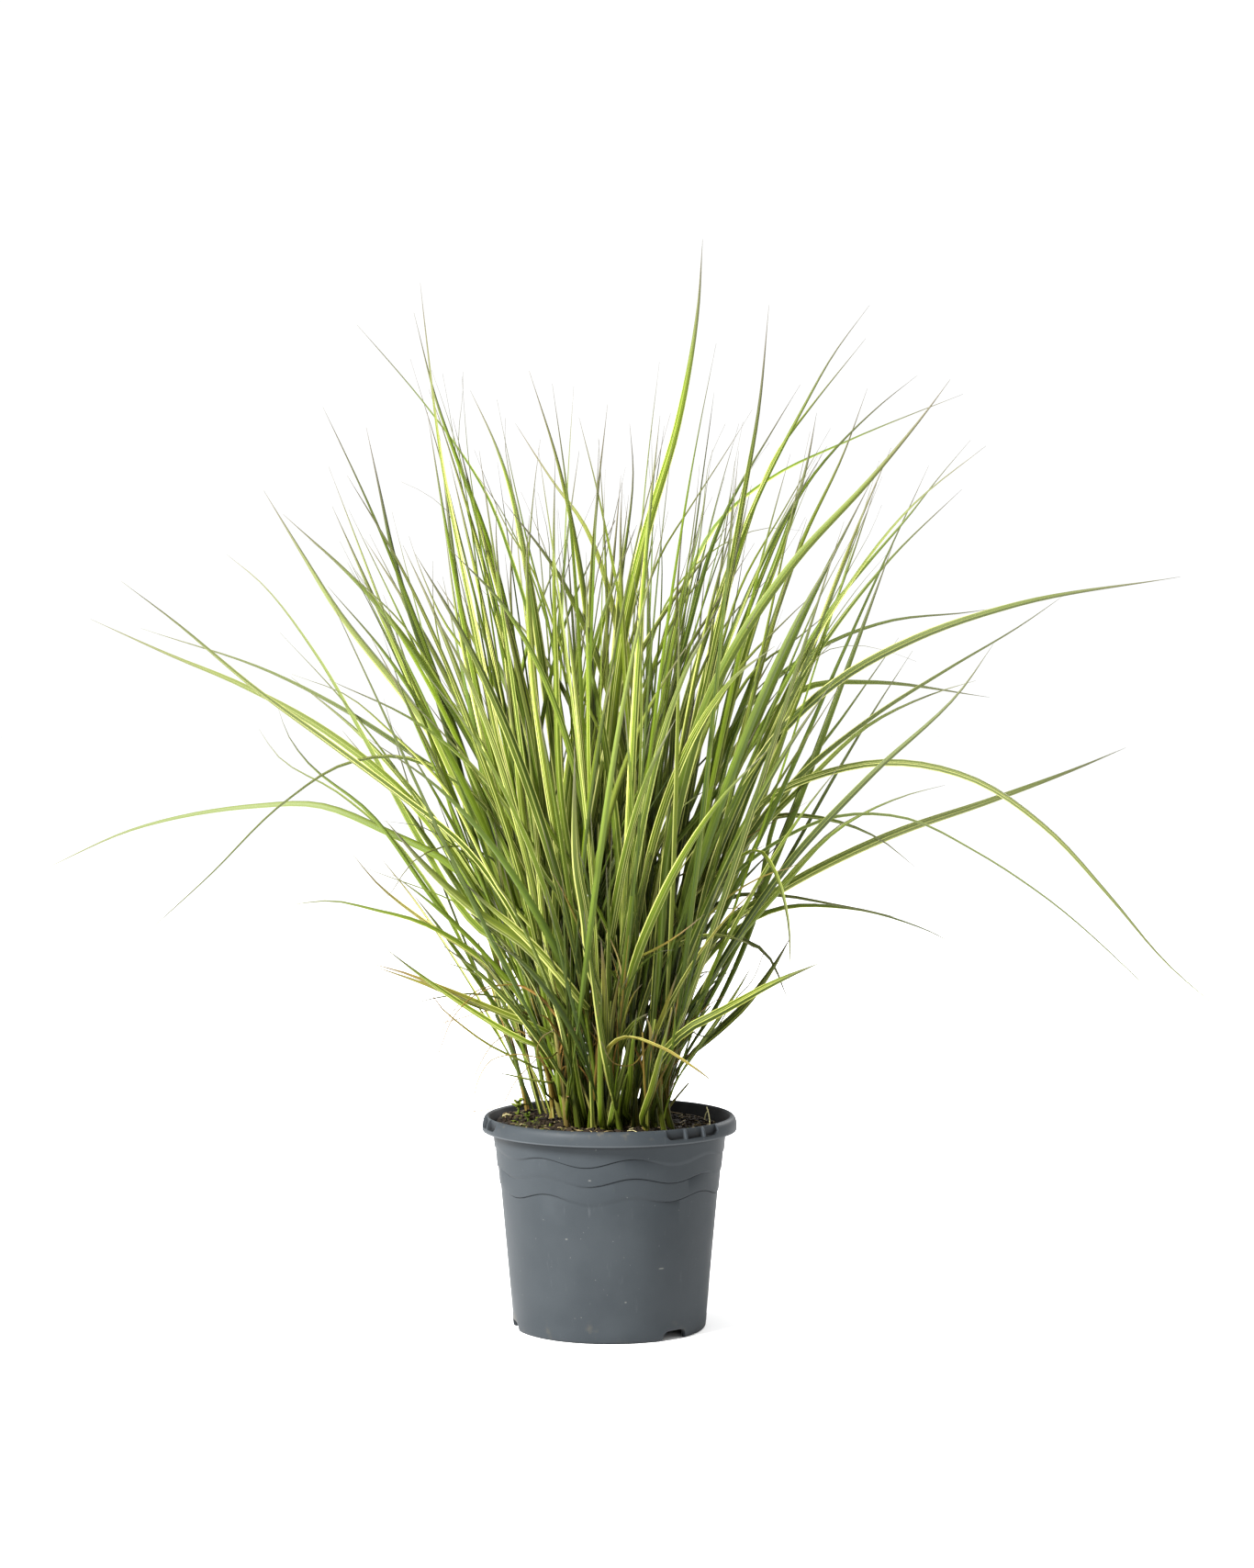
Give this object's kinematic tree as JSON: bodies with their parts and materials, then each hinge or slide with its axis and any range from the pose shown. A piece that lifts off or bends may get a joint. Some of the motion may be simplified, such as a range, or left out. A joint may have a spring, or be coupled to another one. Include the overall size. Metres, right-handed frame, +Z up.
{
  "type": "potted ornamental grass",
  "caption": "Clump of variegated ornamental grass with long pointed striped leaves that arch out on all sides, growing in a round tapered nursery pot.",
  "frame": {"origin": "on the floor under the middle of the pot, at the centre of the flat pad that it stands on", "axes": "+Z up; -Y is the front, the side that the picture shows; +X is to the right of the picture"},
  "size_m": [0.8914, 0.4997, 0.7859],
  "materials": {
    "pot": "matte moulded plastic, scuffed and dusty near the foot",
    "soil": "moist crumbly peat with bits of moss and straw",
    "grass": "satin green leaf blades with cream margins and fine pale stripes",
    "seedling": "fresh pale green leaves"
  },
  "bodies": {
    "root": {"pot": "pot", "seedling": "seedling", "shoot_01": "grass", "shoot_02": "grass", "shoot_03": "grass", "shoot_04": "grass", "shoot_05": "grass", "shoot_06": "grass", "shoot_07": "grass", "shoot_08": "grass", "shoot_09": "grass", "shoot_10": "grass", "shoot_11": "grass", "shoot_12": "grass", "shoot_13": "grass", "shoot_14": "grass", "shoot_15": "grass", "shoot_16": "grass", "shoot_17": "grass", "shoot_18": "grass", "shoot_19": "grass", "shoot_20": "grass", "shoot_21": "grass", "shoot_22": "grass", "shoot_23": "grass", "shoot_24": "grass", "shoot_25": "grass", "shoot_26": "grass", "shoot_27": "grass", "shoot_28": "grass", "shoot_29": "grass", "shoot_30": "grass", "shoot_31": "grass", "shoot_32": "grass", "shoot_33": "grass", "shoot_34": "grass", "shoot_35": "grass", "shoot_36": "grass", "shoot_37": "grass", "shoot_38": "grass", "shoot_39": "grass", "shoot_40": "grass", "shoot_41": "grass", "shoot_42": "grass", "shoot_43": "grass", "shoot_44": "grass", "shoot_45": "grass", "shoot_46": "grass", "soil": "soil"}
  },
  "joints": []
}
